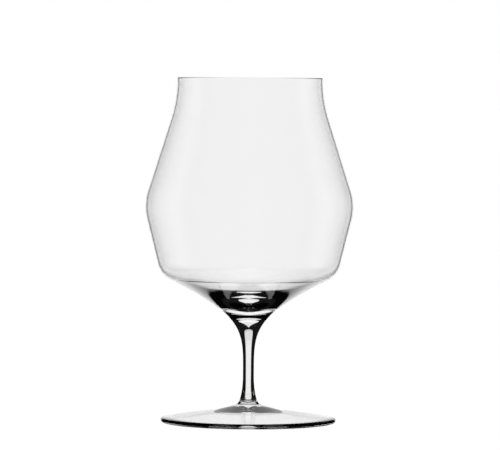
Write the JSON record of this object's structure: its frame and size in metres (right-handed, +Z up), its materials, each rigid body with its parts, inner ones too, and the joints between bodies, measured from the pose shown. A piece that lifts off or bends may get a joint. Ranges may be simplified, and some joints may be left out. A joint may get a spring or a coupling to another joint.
{
  "type": "stemmed beer glass",
  "caption": "Clear tulip beer glass: a bellied bowl with a narrowed upright lip and a thick base, on a slender drawn stem that flares into a broad, shallow foot.",
  "frame": {"origin": "on the table, at the middle of the foot", "axes": "+Z up along the glass's axis of rotation; X and Y are alike"},
  "size_m": [0.1042, 0.1042, 0.172],
  "materials": {
    "bowl_glass": "clear, fire-polished",
    "stem_glass": "clear, drawn",
    "foot_glass": "clear, pressed flat and fire-polished"
  },
  "bodies": {
    "root": {"bowl": "bowl_glass", "stem": "stem_glass", "foot": "foot_glass"}
  },
  "joints": []
}
